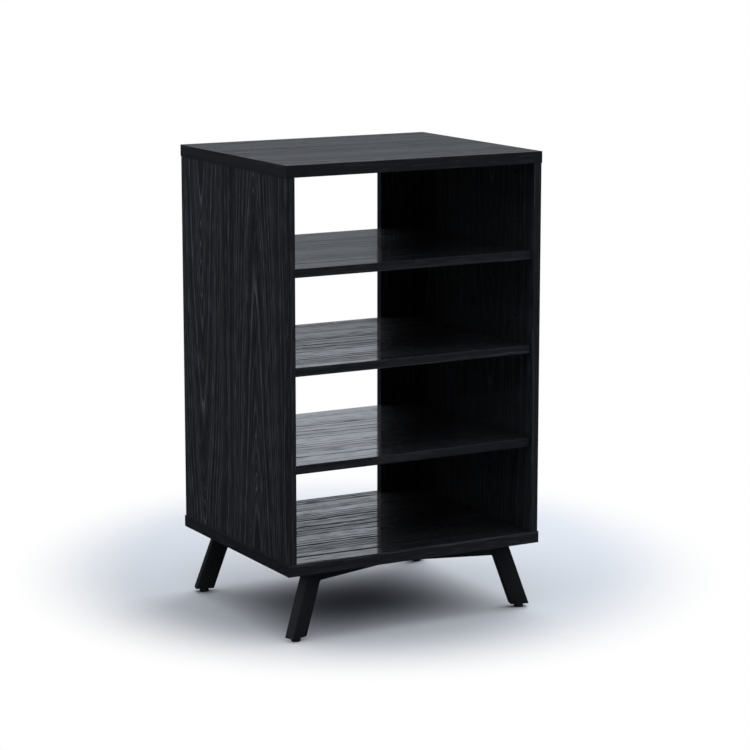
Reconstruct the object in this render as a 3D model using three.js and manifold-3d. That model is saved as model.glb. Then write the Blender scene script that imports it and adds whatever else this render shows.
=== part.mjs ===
// Audio equipment rack: an open cabinet with four bays, of black oak-grained board,
// on a low steel base whose four legs lean out towards the corners.
// Millimetres, +Z up, front towards -Y. The origin is on the floor, under the middle of the cabinet.

import * as THREE from 'three';
import { mergeVertices } from 'three/addons/utils/BufferGeometryUtils.js';
import Module from 'manifold-3d';

const wasm = await Module();
wasm.setup();

// Cabinet box
const box_width = 597; // over the outer faces of the two sides
const box_depth = 495; // front edge to back edge of a side
const box_height = 789; // bay floor to the underside of the top panel
const slab_thickness = 25; // top and bottom panels
const top_overhang = 1; // top panel past the box, all round
const bottom_overhang = 2; // bottom panel past the box, all round
const side_thickness = 18;
const stile_thickness = 18;
const stile_width = 99;
const seam = 0.1; // left between pieces that are pulled or rest together
const overrun = 2; // how far a cutting tool reaches past the face that it opens

// Shelves
const shelf_thickness = 18;
const shelf_front_recess = 6; // shelf edge behind the sides' front edges
const shelf_end_gap = 0.5;
const shelf_back_gap = 2; // shelf to the back stiles
const shelf_top_shares = { lower_shelf: 0.258, middle_shelf: 0.5127, upper_shelf: 0.7674 }; // of the box height

// Shelf pins, half in the side and half in a groove under the shelf's end
const pin_radius = 2.5;
const pin_length = 22;
const pin_bore_depth = 9;
const pin_gap = 0.2; // round a pin and at its ends
const pin_front_setback = 70; // front pins behind the sides' front edges
const pin_rear_setback = 70; // rear pins in front of the back stiles
const pin_step = 64; // from one hole of a row to the next
const pin_facets = 12;

// Cams that pull the top panel down on the sides
const cam_radius = 7.5;
const cam_depth = 12.5;
const cam_gap = 0.2; // round a cam
const cam_setback = 73; // behind the front edge, or in front of the back edge, of the side
const cam_drop = 24; // below the top end of the side
const cam_cross_length = 8;
const cam_cross_width = 1.6;
const cam_cross_depth = 2;
const cam_facets = 24;

// Bolts from the top panel down into the cams
const bolt_thread_radius = 3.5;
const bolt_thread_length = 11;
const bolt_shank_radius = 3;
const bolt_neck_radius = 2;
const bolt_neck_length = 4;
const bolt_head_radius = 3.5;
const bolt_head_length = 3;
const bolt_tail = 3; // how far a bolt reaches past its cam's axis
const bolt_gap = 0.4; // round a bolt
const bolt_chamfer = 0.8;

// Long screws from under the bottom panel into the sides
const box_screw_head_radius = 5;
const box_screw_head_length = 4;
const box_screw_shank_radius = 3.4;
const box_screw_thread_radius = 2.6;
const box_screw_thread_length = 30;
const box_screw_tip_length = 4;
const box_screw_setback = 60; // behind the front edge, or in front of the back edge, of the side

// Steel base
const leg_width = 38; // in the plane that the leg leans in, square to the leg
const leg_thickness = 25;
const leg_wall = 1.5;
const leg_drop = 136; // cabinet's underside to the level end of the leg
const leg_lean = THREE.MathUtils.degToRad(19.5); // from upright
const leg_turn = THREE.MathUtils.degToRad(16); // of the leaning plane from the cabinet's front
const leg_inset_x = 77; // bottom panel's end to the middle of the leg's top
const leg_inset_y = 43; // bottom panel's front or back edge to the middle of the leg's top
const rail_depth = 25;
const rail_wall = 1.5;
const weld_gap = 0.3; // between tubes that are welded together
const rail_screw_end_distance = 42; // from each end of a rail to its screw
const rail_screw_radius = 3;
const rail_screw_grip = 14; // length of the screw in the bottom panel
const rail_screw_head_radius = 6;
const rail_screw_head_length = 3.5;
const rail_access_gap = 0.8; // round a screw's head in the hole under the rail

// Levelling glides, each on a threaded stem in the plug of its leg
const glide_height = 8.5;
const glide_radius = 10;
const glide_chamfer = 1;
const glide_stem_radius = 4;
const glide_stem_length = 28;
const glide_facets = 24;
const plug_height = 18;
const plug_gap = 0.3; // between a plug and the tube's wall
const screw_facets = 12; // round every screw, bolt and bored hole

// Sizes that follow
const half = 0.5;
const top_width = box_width + 2 * top_overhang;
const top_depth = box_depth + 2 * top_overhang;
const bottom_width = box_width + 2 * bottom_overhang;
const bottom_depth = box_depth + 2 * bottom_overhang;
const base_height = leg_drop + glide_height;
const inner_face_x = box_width * half - side_thickness;
const side_middle_x = inner_face_x + side_thickness * half;
const box_front_y = -box_depth * half;
const box_back_y = box_depth * half;
const stile_front_y = box_back_y - stile_thickness;
const stile_middle_x = inner_face_x - seam - stile_width * half;
const board_height = box_height - 2 * seam;
const shelf_length = 2 * (inner_face_x - shelf_end_gap);
const shelf_front_y = box_front_y + shelf_front_recess;
const shelf_back_y = stile_front_y - shelf_back_gap;
const pin_front_y = box_front_y + pin_front_setback;
const pin_rear_y = stile_front_y - pin_rear_setback;
const pin_reach = pin_length - pin_bore_depth + pin_gap; // out of the side
const cam_height = box_height - seam - cam_drop;
const cam_y = box_back_y - cam_setback;
const bolt_length = seam + cam_drop + bolt_tail; // below the top panel
const box_screw_y = box_back_y - box_screw_setback;
const leg_slope = Math.tan(leg_lean);
const leg_level_width = leg_width / Math.cos(leg_lean); // along a level cut of the leg
const leg_level_wall = leg_wall / Math.cos(leg_lean);
const leg_top_x = bottom_width * half - leg_inset_x;
const leg_top_y = bottom_depth * half - leg_inset_y;
const foot_x = leg_slope * leg_drop; // the leg's end from the middle of its top
const rail_reach = leg_top_x / Math.cos(leg_turn); // the leg's middle to the cabinet's middle
const rail_screw_places = [
  -leg_level_width * half - rail_screw_end_distance,
  -rail_reach + rail_screw_end_distance,
];

// Finishes
const black_oak = new THREE.MeshStandardMaterial({ color: 0x24272c, roughness: 0.42, metalness: 0 });
const black_steel = new THREE.MeshStandardMaterial({ color: 0x17181a, roughness: 0.45, metalness: 0.2 });
const black_plastic = new THREE.MeshStandardMaterial({ color: 0x111214, roughness: 0.55, metalness: 0 });
const zinc = new THREE.MeshStandardMaterial({ color: 0x9a9da0, roughness: 0.35, metalness: 0.9 });
const black_zinc = new THREE.MeshStandardMaterial({ color: 0x18181a, roughness: 0.5, metalness: 0.6 });

// Turns a three.js geometry into a solid that can be cut
function solid_of(geometry) {
  const bare = geometry.clone();
  bare.deleteAttribute('normal');
  bare.deleteAttribute('uv');
  const merged = mergeVertices(bare);
  return new wasm.Manifold(new wasm.Mesh({
    numProp: 3,
    vertProperties: merged.attributes.position.array,
    triVerts: new Uint32Array(merged.index.array),
  }));
}

// Turns a solid back into a three.js geometry
function geometry_of(solid) {
  const mesh = solid.getMesh();
  const geometry = new THREE.BufferGeometry();
  geometry.setAttribute('position', new THREE.BufferAttribute(new Float32Array(mesh.vertProperties), mesh.numProp));
  geometry.setIndex(new THREE.BufferAttribute(new Uint32Array(mesh.triVerts), 1));
  geometry.computeVertexNormals();
  return geometry;
}

// Cuts each tool out of a blank
function cut(blank, tools) {
  let solid = solid_of(blank);
  for (const tool of tools) {
    solid = solid.subtract(solid_of(tool));
  }
  return geometry_of(solid);
}

// A block between two corners
function block(x0, x1, y0, y1, z0, z1) {
  const shape = new THREE.BoxGeometry(x1 - x0, y1 - y0, z1 - z0);
  return shape.translate((x0 + x1) * half, (y0 + y1) * half, (z0 + z1) * half);
}

// A round bar along X from x0 to x1
function bar_along_x(radius, facets, x0, x1, y, z) {
  const bar = new THREE.CylinderGeometry(radius, radius, Math.abs(x1 - x0), facets);
  return bar.rotateZ(Math.PI * half).translate((x0 + x1) * half, y, z);
}

// A round bar along Z from z0 to z1
function bar_along_z(radius, facets, x, y, z0, z1) {
  const bar = new THREE.CylinderGeometry(radius, radius, z1 - z0, facets);
  return bar.rotateX(Math.PI * half).translate(x, y, (z0 + z1) * half);
}

// A piece turned round Z, from [radius, height] pairs that rise from the axis back to the axis
function turned(profile, facets) {
  const points = profile.map(([radius, height]) => new THREE.Vector2(radius, height));
  return new THREE.LatheGeometry(points, facets).rotateX(Math.PI * half);
}

// A named piece in a group
function add_piece(group, name, geometry, material, x = 0, y = 0, z = 0) {
  const piece = new THREE.Mesh(geometry, material);
  piece.name = name;
  piece.position.set(x, y, z);
  group.add(piece);
  return piece;
}

const rack = new THREE.Group();
const base = new THREE.Group(); // its zero height is the cabinet's underside
const cabinet = new THREE.Group(); // its zero height is the floor of the lowest bay
base.position.z = base_height;
cabinet.position.z = base_height + slab_thickness;
rack.add(base, cabinet);

const sides = [
  { word: 'left', sign: -1 },
  { word: 'right', sign: 1 },
];
const ends = [
  { word: 'front', sign: -1 },
  { word: 'rear', sign: 1 },
];

// Calls a function for each of the four corners
function each_corner(make) {
  for (const end of ends) {
    for (const side of sides) {
      make(`${end.word}_${side.word}`, side.sign, end.sign);
    }
  }
}

// The turned frame of one leg: +X is the way it leans, and zero is the middle of its top
function corner_group(x_sign, y_sign) {
  const corner = new THREE.Group();
  corner.position.set(x_sign * leg_top_x, y_sign * leg_top_y, 0);
  corner.rotation.z = Math.atan2(y_sign * Math.sin(leg_turn), x_sign * Math.cos(leg_turn));
  corner.updateMatrix();
  return corner;
}

// A block that leans with the leg, between two heights
function leaning_block(width, thickness, z0, z1) {
  const lean = new THREE.Matrix4().makeShear(0, 0, 0, 0, -leg_slope, 0);
  const shape = block(-width * half, width * half, -thickness * half, thickness * half, z0, z1);
  return shape.applyMatrix4(lean);
}

// Leg: a rectangular tube with level ends
function leg_tube() {
  const bore_width = leg_level_width - 2 * leg_level_wall;
  const bore_thickness = leg_thickness - 2 * leg_wall;
  const tube = leaning_block(leg_level_width, leg_thickness, -leg_drop, -seam);
  const bore = leaning_block(bore_width, bore_thickness, -leg_drop - overrun, overrun);
  return cut(tube, [bore]);
}

// Plug: fills the foot of the leg and carries the glide's thread
function leg_plug() {
  const width = leg_level_width - 2 * (leg_level_wall + plug_gap);
  const thickness = leg_thickness - 2 * (leg_wall + plug_gap);
  const plug = leaning_block(width, thickness, -leg_drop, plug_height - leg_drop);
  const thread = bar_along_z(
    glide_stem_radius + plug_gap, screw_facets, foot_x, 0, -leg_drop - overrun, plug_height - leg_drop + overrun,
  );
  return cut(plug, [thread]);
}

// Glide: a round foot on its threaded stem, standing on the floor
function glide() {
  const foot_top = glide_height - seam;
  return turned([
    [0, 0],
    [glide_radius - glide_chamfer, 0],
    [glide_radius, glide_chamfer],
    [glide_radius, foot_top - glide_chamfer * half],
    [glide_radius - glide_chamfer * half, foot_top],
    [glide_stem_radius, foot_top],
    [glide_stem_radius, glide_height + glide_stem_length],
    [0, glide_height + glide_stem_length],
  ], glide_facets);
}

// Rail: a tube from the leg's inner face to the cabinet's middle, mitred there
function rail_tube(corner, x_sign) {
  const top = -seam;
  const bottom = top - rail_depth;
  const outer_y = leg_thickness * half;
  const bore_y = outer_y - rail_wall;
  const inner_end = -rail_reach - leg_thickness;
  const tube = block(inner_end, 0, -outer_y, outer_y, bottom, top);
  const bore = block(inner_end - overrun, overrun, -bore_y, bore_y, bottom + rail_wall, top - rail_wall);
  const leg_room = leaning_block(
    leg_level_width + 2 * weld_gap, leg_thickness + 2 * overrun, bottom - overrun, top + overrun,
  );
  const beyond = leg_level_width;
  const past_middle = block(-beyond, beyond, -beyond, beyond, bottom - overrun, top + overrun);
  past_middle.translate(x_sign * (weld_gap * half - beyond), 0, 0);
  const rail_middle_y = Math.sin(leg_turn) * rail_reach;
  past_middle.translate(0, corner.position.y - Math.sign(corner.position.y) * rail_middle_y, 0);
  past_middle.applyMatrix4(corner.matrix.clone().invert());
  const screw_holes = rail_screw_places.map((x) => bar_along_z(
    rail_screw_radius + bolt_gap, screw_facets, x, 0, bottom + rail_wall, top + overrun,
  ));
  const access_holes = rail_screw_places.map((x) => bar_along_z(
    rail_screw_head_radius + rail_access_gap, screw_facets, x, 0, bottom - overrun, bottom + rail_depth * half,
  ));
  return cut(tube, [bore, leg_room, past_middle, ...screw_holes, ...access_holes]);
}

// Screw: its head inside the rail, under the upper wall, and its shank up in the bottom panel
function rail_screw() {
  const head_top = -seam - rail_wall - seam;
  return turned([
    [0, head_top - rail_screw_head_length],
    [rail_screw_head_radius - bolt_chamfer, head_top - rail_screw_head_length],
    [rail_screw_head_radius, head_top - rail_screw_head_length + bolt_chamfer],
    [rail_screw_head_radius, head_top],
    [rail_screw_radius, head_top],
    [rail_screw_radius, rail_screw_grip - bolt_chamfer],
    [rail_screw_radius - bolt_chamfer, rail_screw_grip],
    [0, rail_screw_grip],
  ], screw_facets);
}

// Base: four legs, each with its rail, plug, glide and rail screws
const screw_holes_under = [];
each_corner((name, x_sign, y_sign) => {
  const corner = corner_group(x_sign, y_sign);
  base.add(corner);
  add_piece(corner, `${name}_leg`, leg_tube(), black_steel);
  add_piece(corner, `${name}_rail`, rail_tube(corner, x_sign), black_steel);
  add_piece(corner, `${name}_leg_plug`, leg_plug(), black_plastic);
  add_piece(corner, `${name}_glide`, glide(), black_plastic, foot_x, 0, -base_height);
  rail_screw_places.forEach((x, index) => {
    add_piece(corner, `${name}_rail_screw_${index + 1}`, rail_screw(), zinc, x);
    const place = new THREE.Vector3(x, 0, 0).applyMatrix4(corner.matrix);
    screw_holes_under.push(bar_along_z(
      rail_screw_radius + bolt_gap, screw_facets, place.x, place.y, -overrun, rail_screw_grip + bolt_gap,
    ));
  });
});

// Box screw: up through the bottom panel into the end of a side
function box_screw() {
  const shank_top = slab_thickness;
  const thread_top = shank_top + box_screw_thread_length;
  return turned([
    [0, seam],
    [box_screw_head_radius, seam],
    [box_screw_head_radius, seam + box_screw_head_length],
    [box_screw_shank_radius, seam + box_screw_head_length],
    [box_screw_shank_radius, shank_top],
    [box_screw_thread_radius, shank_top],
    [box_screw_thread_radius, thread_top - box_screw_tip_length],
    [0, thread_top],
  ], screw_facets);
}

// Bottom panel, with its holes for the rail screws and the box screws
const box_screw_holes = [];
each_corner((name, x_sign, y_sign) => {
  const x = x_sign * side_middle_x;
  const y = y_sign * box_screw_y;
  const head_seat = 2 * seam + box_screw_head_length;
  box_screw_holes.push(
    bar_along_z(box_screw_shank_radius + bolt_gap, screw_facets, x, y, -overrun, slab_thickness + overrun),
    bar_along_z(box_screw_head_radius + bolt_gap, screw_facets, x, y, -overrun, head_seat),
  );
  add_piece(base, `${name}_box_screw`, box_screw(), zinc, x, y);
});
const bottom_blank = block(
  -bottom_width * half, bottom_width * half, -bottom_depth * half, bottom_depth * half, 0, slab_thickness,
);
add_piece(base, 'bottom_panel', cut(bottom_blank, [...screw_holes_under, ...box_screw_holes]), black_oak);

// Top panel, with blind holes for the cam bolts
const top_holes = [];
each_corner((name, x_sign, y_sign) => {
  top_holes.push(bar_along_z(
    bolt_thread_radius + bolt_gap, screw_facets, x_sign * side_middle_x, y_sign * cam_y,
    -overrun, bolt_thread_length + bolt_gap,
  ));
});
const top_blank = block(-top_width * half, top_width * half, -top_depth * half, top_depth * half, 0, slab_thickness);
add_piece(cabinet, 'top_panel', cut(top_blank, top_holes), black_oak, 0, 0, box_height);

// Height of the pins under a shelf: level with the middle of the board
function pin_height(share) {
  return share * box_height - shelf_thickness * half;
}

// Side panel, drilled from its inner face, its top end and its bottom end
function side_panel(x_sign) {
  const face = -x_sign * side_thickness * half;
  const blank = block(
    -side_thickness * half, side_thickness * half, box_front_y, box_back_y, seam, seam + board_height,
  );
  const tools = [];
  for (const share of Object.values(shelf_top_shares)) {
    for (const step of [-pin_step, 0, pin_step]) {
      for (const y of [pin_front_y, pin_rear_y]) {
        tools.push(bar_along_x(
          pin_radius + pin_gap, pin_facets, face - x_sign * overrun, face + x_sign * pin_bore_depth,
          y, pin_height(share) + step,
        ));
      }
    }
  }
  for (const end of ends) {
    const y = end.sign * cam_y;
    tools.push(
      bar_along_x(
        cam_radius + cam_gap, cam_facets, face - x_sign * overrun, face + x_sign * (cam_depth + cam_gap), y, cam_height,
      ),
      bar_along_z(bolt_head_radius + bolt_gap, screw_facets, 0, y, cam_height, box_height + overrun),
      bar_along_z(
        box_screw_thread_radius + bolt_gap, screw_facets, 0, end.sign * box_screw_y,
        -overrun, box_screw_thread_length + bolt_gap,
      ),
    );
  }
  return cut(blank, tools);
}

for (const side of sides) {
  add_piece(cabinet, `${side.word}_side_panel`, side_panel(side.sign), black_oak, side.sign * side_middle_x);
}

// Back stiles: upright boards in the back corners that leave the middle open for cables and air
for (const side of sides) {
  const board = block(
    -stile_width * half, stile_width * half, stile_front_y, box_back_y, seam, seam + board_height,
  );
  add_piece(cabinet, `${side.word}_back_stile`, board, black_oak, side.sign * stile_middle_x);
}

// Cam: a disc with a cross for the driver in its face and a slot for the bolt's head behind
function cam(x_sign) {
  const face = -x_sign * cam_depth * half;
  const bolt_x = face + x_sign * side_thickness * half;
  const slot_half = bolt_head_radius + bolt_gap;
  const slot_start = bolt_x - x_sign * slot_half;
  const slot_end = -face + x_sign * overrun;
  const slot_low = -bolt_tail - bolt_gap;
  const slot = block(
    Math.min(slot_start, slot_end), Math.max(slot_start, slot_end),
    -slot_half, slot_half, slot_low, cam_radius + overrun,
  );
  const cross_start = face - x_sign * overrun;
  const cross_end = face + x_sign * cam_cross_depth;
  const cross_low_x = Math.min(cross_start, cross_end);
  const cross_high_x = Math.max(cross_start, cross_end);
  const long = cam_cross_length * half;
  const narrow = cam_cross_width * half;
  const bars = [
    block(cross_low_x, cross_high_x, -long, long, -narrow, narrow),
    block(cross_low_x, cross_high_x, -narrow, narrow, -long, long),
  ];
  const disc = bar_along_x(cam_radius, cam_facets, -cam_depth * half, cam_depth * half, 0, 0);
  return cut(disc, [slot, ...bars]);
}

// Cam bolt: threaded into the top panel, with its head hanging in the cam
function cam_bolt() {
  const neck_low = bolt_head_length - bolt_length;
  const neck_high = neck_low + bolt_neck_length;
  return turned([
    [0, -bolt_length],
    [bolt_head_radius, -bolt_length],
    [bolt_head_radius, neck_low],
    [bolt_neck_radius, neck_low],
    [bolt_neck_radius, neck_high],
    [bolt_shank_radius, neck_high],
    [bolt_shank_radius, 0],
    [bolt_thread_radius, 0],
    [bolt_thread_radius, bolt_thread_length - bolt_chamfer],
    [bolt_thread_radius - bolt_chamfer, bolt_thread_length],
    [0, bolt_thread_length],
  ], screw_facets);
}

each_corner((name, x_sign, y_sign) => {
  const cam_x = x_sign * (inner_face_x + cam_depth * half);
  add_piece(cabinet, `${name}_cam`, cam(x_sign), black_zinc, cam_x, y_sign * cam_y, cam_height);
  add_piece(cabinet, `${name}_cam_bolt`, cam_bolt(), zinc, x_sign * side_middle_x, y_sign * cam_y, box_height);
});

// Shelf, with a groove under each end for each pin
function shelf() {
  const low = -shelf_thickness;
  const blank = block(-shelf_length * half, shelf_length * half, shelf_front_y, shelf_back_y, low, 0);
  const groove_top = -shelf_thickness * half + pin_radius + seam;
  const groove_half = pin_radius + pin_gap;
  const grooves = [];
  for (const y of [pin_front_y, pin_rear_y]) {
    const inner = inner_face_x - pin_reach - pin_gap;
    const outer = inner_face_x;
    grooves.push(
      block(inner, outer, y - groove_half, y + groove_half, low - overrun, groove_top),
      block(-outer, -inner, y - groove_half, y + groove_half, low - overrun, groove_top),
    );
  }
  return cut(blank, grooves);
}

// Shelves and the four pins under each
for (const [name, share] of Object.entries(shelf_top_shares)) {
  add_piece(cabinet, name, shelf(), black_oak, 0, 0, share * box_height);
  for (const side of sides) {
    const inner = side.sign * (inner_face_x - pin_reach);
    const outer = inner + side.sign * pin_length;
    for (const [word, y] of [['front', pin_front_y], ['rear', pin_rear_y]]) {
      const pin = bar_along_x(pin_radius, pin_facets, 0, outer - inner, 0, 0);
      add_piece(cabinet, `${name}_pin_${word}_${side.word}`, pin, zinc, inner, y, pin_height(share));
    }
  }
}

export default rack;
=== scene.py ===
# %% [markdown]
# Audio equipment rack
#
# The rack is an open cabinet of black oak-grained board on a low steel base with four leaning legs.
# The CAD model holds every size and every joint. This script dresses it: it rounds the edges that a hand
# would feel, cuts the threads, lays the welds and gives each surface its finish.
# The CAD model comes first, as a fixed frame, and every new piece takes its place from it.

# %% Load the frame
import math

import bmesh
import bpy
from mathutils import Matrix, Vector


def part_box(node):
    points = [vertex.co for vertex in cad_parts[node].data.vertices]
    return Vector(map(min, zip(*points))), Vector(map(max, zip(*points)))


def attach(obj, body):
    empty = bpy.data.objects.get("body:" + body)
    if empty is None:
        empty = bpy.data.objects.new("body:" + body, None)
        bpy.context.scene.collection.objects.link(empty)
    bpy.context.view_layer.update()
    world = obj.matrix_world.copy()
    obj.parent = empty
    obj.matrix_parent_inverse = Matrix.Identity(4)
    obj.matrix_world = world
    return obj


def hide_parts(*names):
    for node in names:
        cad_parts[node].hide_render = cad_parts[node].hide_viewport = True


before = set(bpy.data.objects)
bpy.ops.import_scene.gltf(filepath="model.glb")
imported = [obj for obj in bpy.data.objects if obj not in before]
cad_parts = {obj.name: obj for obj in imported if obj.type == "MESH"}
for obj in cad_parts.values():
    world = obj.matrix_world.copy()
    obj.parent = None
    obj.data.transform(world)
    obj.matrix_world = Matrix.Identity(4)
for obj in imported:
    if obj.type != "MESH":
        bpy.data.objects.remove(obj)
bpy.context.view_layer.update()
scene = bpy.context.scene
scene.view_settings.view_transform = "Standard"
MM = 0.001

# %% [markdown]
# Camera
#
# The picture is taken from well back, to the left of the front and a little above the top.
# The place and the lens come from the corners of the cabinet in the picture. The camera is pitched down
# instead of shifted, so that the same camera can walk round the rack.

# %% Camera
CAMERA_PLACE = Vector((-2.6042, -4.7559, 1.5181))
CAMERA_YAW = math.radians(-29.06)
CAMERA_PITCH = math.radians(-10.68)
CAMERA_LENS = 123.5
SENSOR_WIDTH = 36
NEAREST_SEEN = 0.1

camera_data = bpy.data.cameras.new("camera")
camera_data.lens = CAMERA_LENS
camera_data.sensor_width = SENSOR_WIDTH
camera_data.clip_start = NEAREST_SEEN
camera = bpy.data.objects.new("camera", camera_data)
camera.location = CAMERA_PLACE
camera.rotation_euler = (math.radians(90) + CAMERA_PITCH, 0, CAMERA_YAW)
scene.collection.objects.link(camera)
scene.camera = camera
print("The camera stands", round(CAMERA_PLACE.length, 2), "m from the rack's foot")

# %% [markdown]
# Node helpers
#
# A material is a small graph. These helpers add a node, set its sockets and link it in one line each,
# so that the cells below read like a list of what a finish is made of.

# %% Node helpers
def add_node(tree, kind, settings=None, **inputs):
    """Adds a node, sets its properties, and fills its inputs with values or links.

    An input goes by its label, with a low line for a space, or by its number, as in i0.
    """
    node = tree.nodes.new(kind)
    for name, value in (settings or {}).items():
        setattr(node, name, value)
    for name, value in inputs.items():
        socket = node.inputs[int(name[1:]) if name[1:].isdigit() else name.replace("_", " ")]
        if isinstance(value, bpy.types.NodeSocket):
            tree.links.new(value, socket)
        else:
            socket.default_value = value
    return node


def math_node(tree, operation, *values):
    """One step of arithmetic on numbers or sockets. Returns its output socket."""
    named = {f"i{index}": value for index, value in enumerate(values)}
    return add_node(tree, "ShaderNodeMath", {"operation": operation}, **named).outputs[0]


def vector_node(tree, operation, *values):
    """One step of arithmetic on vectors. Returns its output socket."""
    named = {f"i{index}": value for index, value in enumerate(values)}
    return add_node(tree, "ShaderNodeVectorMath", {"operation": operation}, **named).outputs[0]


def remap(tree, value, low, high, to_low, to_high, interpolation="LINEAR"):
    """Stretches a range of values onto another, and holds it at both ends."""
    settings = {"clamp": True, "interpolation_type": interpolation}
    ends = {"From_Min": low, "From_Max": high, "To_Min": to_low, "To_Max": to_high}
    return add_node(tree, "ShaderNodeMapRange", settings, Value=value, **ends).outputs["Result"]


def noise(tree, vector, scale, detail=2.0, roughness=0.5):
    """Soft noise between 0 and 1. The vector is in metres, so the scale is in bumps for each metre."""
    sizes = {"Scale": scale, "Detail": detail, "Roughness": roughness}
    return add_node(tree, "ShaderNodeTexNoise", Vector=vector, **sizes).outputs["Fac"]


def mix_colours(tree, share, first, second):
    """A colour between two others. Returns its output socket."""
    return add_node(tree, "ShaderNodeMix", {"data_type": "RGBA"}, i0=share, i6=first, i7=second).outputs[2]


def mix_shaders(tree, share, first, second):
    """A shader between two others. Returns its output socket."""
    return add_node(tree, "ShaderNodeMixShader", i0=share, i1=first, i2=second).outputs[0]


print("Node helpers are ready")

# %% [markdown]
# New groups and materials
#
# A pattern that several finishes share is made once, as a node group. Each group here takes the place on the
# piece as a vector, and sizes as numbers that each material sets for itself.

# %% Group and material helpers
def new_group(name, sizes, results):
    """A node group that takes a vector and named sizes, and gives named numbers: (tree, inputs, outputs)."""
    tree = bpy.data.node_groups.new(name, "ShaderNodeTree")
    tree.interface.new_socket(name="Vector", in_out="INPUT", socket_type="NodeSocketVector")
    for label, value in sizes.items():
        socket = tree.interface.new_socket(name=label, in_out="INPUT", socket_type="NodeSocketFloat")
        socket.default_value = value
    for label in results:
        tree.interface.new_socket(name=label, in_out="OUTPUT", socket_type="NodeSocketFloat")
    source = tree.nodes.new("NodeGroupInput")
    result = tree.nodes.new("NodeGroupOutput")
    return tree, source.outputs, result.inputs


def new_material(name):
    """A material with a Principled BSDF. Returns it with its tree and that shader."""
    material = bpy.data.materials.new(name)
    material.use_nodes = True
    tree = material.node_tree
    return material, tree, tree.nodes["Principled BSDF"]


print("A new group starts with a vector, and a new material with one Principled shader")

# %% [markdown]
# Oak grain
#
# The boards are covered with a black laminate that is pressed with the grain of plain-sawn oak: long lines
# of pores, which climb into narrow arches where a board runs near the heart of the tree.
# A picture could hold that, and so could a flat pattern of stripes. Here it is worked out as a tree grows:
# rings round a heart that tapers along its length, cut by the board. The arches then come by themselves.
# A wide board is laid up from several veneers, and each second one is turned end for end, so the hearts
# stand side by side and their arches point up and down in turn.

# %% Ring numbers
RING_SIZES = {
    "Ring Spacing": 0.028, "Heart Spacing": 0.25, "Heart Depth": 0.015, "Taper": 0.11, "Wander": 0.03,
}
DRIFT_STRETCH = (1.0, 1.0, 0.3)
DRIFT_SCALE = 5.0
RIPPLE_STRETCH = (1.0, 1.0, 0.1)
RIPPLE_SCALE = 110.0
RIPPLE_SIZE = 0.006
YEARS_SCALE = 0.7
YEARS_SPREAD = 1.6


def ring_noise(tree, rings, scale, detail):
    """Soft noise between 0 and 1 that changes from ring to ring."""
    sizes = {"W": rings, "Scale": scale, "Detail": detail}
    return add_node(tree, "ShaderNodeTexNoise", {"noise_dimensions": "1D"}, **sizes).outputs["Fac"]


def ring_number(tree, given):
    """How many growth rings lie between a point and the heart of its veneer, with a fraction."""
    slow = vector_node(tree, "MULTIPLY", given["Vector"], DRIFT_STRETCH)
    drift = add_node(tree, "ShaderNodeTexNoise", Vector=slow, Scale=DRIFT_SCALE, Detail=2.0).outputs["Color"]
    drift = add_node(tree, "ShaderNodeSeparateColor", Color=drift)
    quick = vector_node(tree, "MULTIPLY", given["Vector"], RIPPLE_STRETCH)
    ripple = math_node(tree, "SUBTRACT", noise(tree, quick, RIPPLE_SCALE), 0.5)
    place = add_node(tree, "ShaderNodeSeparateXYZ", Vector=given["Vector"])
    sway = math_node(tree, "MULTIPLY", math_node(tree, "SUBTRACT", drift.outputs[0], 0.5), given["Wander"])
    swell = math_node(tree, "MULTIPLY", math_node(tree, "SUBTRACT", drift.outputs[1], 0.5), given["Wander"])
    sway = math_node(tree, "MULTIPLY_ADD", ripple, RIPPLE_SIZE, sway)
    across = math_node(tree, "ADD", place.outputs[0], sway)
    half_spacing = math_node(tree, "MULTIPLY", given["Heart Spacing"], 0.5)
    from_heart = math_node(tree, "PINGPONG", across, half_spacing)
    angle = math_node(tree, "DIVIDE", math_node(tree, "MULTIPLY", across, math.pi), given["Heart Spacing"])
    turn = math_node(tree, "COSINE", angle)
    depth = math_node(tree, "ADD", given["Heart Depth"], place.outputs[1])
    depth_square = math_node(tree, "MULTIPLY", depth, depth)
    squares = math_node(tree, "ADD", math_node(tree, "POWER", from_heart, 2.0), depth_square)
    climb = math_node(tree, "MULTIPLY", math_node(tree, "MULTIPLY", place.outputs[2], given["Taper"]), turn)
    radius = math_node(tree, "ADD", math_node(tree, "SQRT", squares), math_node(tree, "ADD", climb, swell))
    rings = math_node(tree, "DIVIDE", radius, given["Ring Spacing"])
    years = ring_noise(tree, rings, YEARS_SCALE, detail=1.0)
    return math_node(tree, "MULTIPLY_ADD", years, YEARS_SPREAD, rings)


print("Rings are", round(RING_SIZES["Ring Spacing"] / MM), "mm apart, before they wander")

# %% [markdown]
# Ring lines
#
# An oak's year starts with a row of wide pores, so each ring shows as one dark line that begins sharply and
# fades. Some years are fainter than others, and in some zones finer lines fill the space between them.

# %% Ring lines group
LINE_RISE = (0.0, 0.04)
LINE_FALL = (0.05, 0.20)
FAINTEST_LINE = 0.25
FINE_LINES_PER_RING = 4.3
FINE_RISE = (0.0, 0.12)
FINE_FALL = (0.15, 0.5)
ZONES_SCALE = 0.45
ZONES_EDGE = (0.45, 0.6)


def stroke(tree, rings, rise, fall):
    """A line in each ring that rises over one share of the ring and falls over another."""
    phase = math_node(tree, "FRACT", rings)
    risen = remap(tree, phase, *rise, 0.0, 1.0)
    return math_node(tree, "MULTIPLY", risen, remap(tree, phase, *fall, 1.0, 0.0))


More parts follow.
